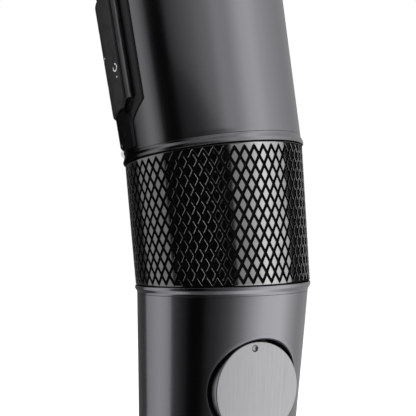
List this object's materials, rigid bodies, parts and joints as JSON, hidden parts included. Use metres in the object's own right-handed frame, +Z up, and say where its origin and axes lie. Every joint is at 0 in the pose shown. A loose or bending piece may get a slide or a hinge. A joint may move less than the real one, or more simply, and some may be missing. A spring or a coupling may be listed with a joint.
{
  "type": "sous vide circulator",
  "caption": "Hand-held immersion circulator: bent round housing with a knurled grip over a heater tube, with a rocking control key, side dial, rear screw clamp and pull-off pump cap.",
  "frame": {"origin": "centre of the pump cap's flat underside, on the heater tube's axis", "axes": "+Z up the heater tube, -Y towards the control side, +X towards the dial, +Y towards the pot clamp"},
  "size_m": [0.063, 0.1399, 0.3281],
  "materials": {
    "gunmetal_paint": "high gloss metallic",
    "black_nickel": "polished black nickel",
    "gloss_black": "gloss",
    "satin_black": "fine moulded grain",
    "dark_plate": "satin",
    "light_trim": "satin anodised",
    "steel": "brushed",
    "chrome": "polished",
    "display_glass": "tinted gloss",
    "rubber": "matte",
    "white_plastic": "moulded",
    "circuit_board": "solder mask",
    "bronze": "sintered",
    "aluminium": "extruded",
    "copper_winding": "enamelled wire"
  },
  "bodies": {
    "housing": {"head_cap": "gunmetal_paint", "display_window": "display_glass", "display_board": "circuit_board", "upper_housing": "gunmetal_paint", "fascia_bezel": "gloss_black", "trim_strip_left": "light_trim", "trim_strip_right": "light_trim", "key_pivot_pin": "steel", "key_switch_upper": "satin_black", "key_switch_lower": "satin_black", "control_board": "circuit_board", "start_switch": "satin_black", "upper_bead_ring": "gunmetal_paint", "grip_sleeve": "black_nickel", "lower_bead_ring": "gunmetal_paint", "lower_housing": "gunmetal_paint", "dial_well": "gloss_black", "dial_encoder": "satin_black", "inner_chassis": "satin_black", "main_board": "circuit_board", "transformer": "copper_winding", "power_relay": "white_plastic", "capacitor": "gloss_black", "heatsink": "aluminium", "power_inlet": "satin_black", "motor": "steel", "motor_mount": "satin_black", "shaft_seal": "rubber", "seal_plate": "satin_black", "heater_tube": "steel", "heater_coil": "steel", "temperature_probe": "steel", "level_probe_low": "steel", "level_probe_high": "steel", "pump_plate": "satin_black", "shaft_bush": "bronze", "clamp_collar": "satin_black", "clamp_bridge": "satin_black", "clamp_bolt_front": "steel", "clamp_bolt_rear": "steel", "fixed_pad": "rubber", "housing_screw_lower": "steel", "housing_screw_middle": "steel", "housing_screw_upper": "steel"},
    "rotor": {"motor_shaft": "steel", "impeller": "satin_black", "cooling_fan": "white_plastic"},
    "dial_knob": {"dial": "light_trim"},
    "control_key": {"control_plate": "dark_plate"},
    "start_key": {"start_button": "chrome"},
    "jaw": {"clamp_jaw": "satin_black", "jaw_pad": "rubber"},
    "screw": {"clamp_screw": "steel", "clamp_knob": "satin_black"},
    "cap": {"pump_cap": "satin_black"}
  },
  "joints": [
    {"name": "pump_spin", "type": "hinge", "parent": "housing", "child": "rotor", "pos_m": [0, 0, 0.1], "axis": [0, 0, 1], "continuous": true},
    {"name": "dial_turn", "type": "hinge", "parent": "housing", "child": "dial_knob", "pos_m": [0, 0, 0.1742], "axis": [0.9191, 0.3939, 0], "continuous": true},
    {"name": "key_rock", "type": "hinge", "parent": "housing", "child": "control_key", "pos_m": [0, -0.03773, 0.27759], "axis": [1, 0, 0], "range_deg": [-1.8, 1.8], "stiffness_Nm_per_rad": 0.6},
    {"name": "start_press", "type": "slide", "parent": "housing", "child": "start_key", "axis": [0, 0.984, 0.1783], "range_m": [0, 0.0008], "stiffness_N_per_m": 800},
    {"name": "jaw_slide", "type": "slide", "parent": "housing", "child": "jaw", "axis": [0, -1, 0], "range_m": [0, 0.012]},
    {"name": "clamp_screw_turn", "type": "hinge", "parent": "jaw", "child": "screw", "pos_m": [0, 0.07, 0.112], "axis": [0, -1, 0], "range_deg": [0, 2160]},
    {"name": "cap_pull", "type": "slide", "parent": "housing", "child": "cap", "axis": [0, 0, -1], "range_m": [0, 0.03]}
  ],
  "couplings": [
    {"joint": "jaw_slide", "follows": "clamp_screw_turn", "m_per_rad": 0.0003183}
  ]
}
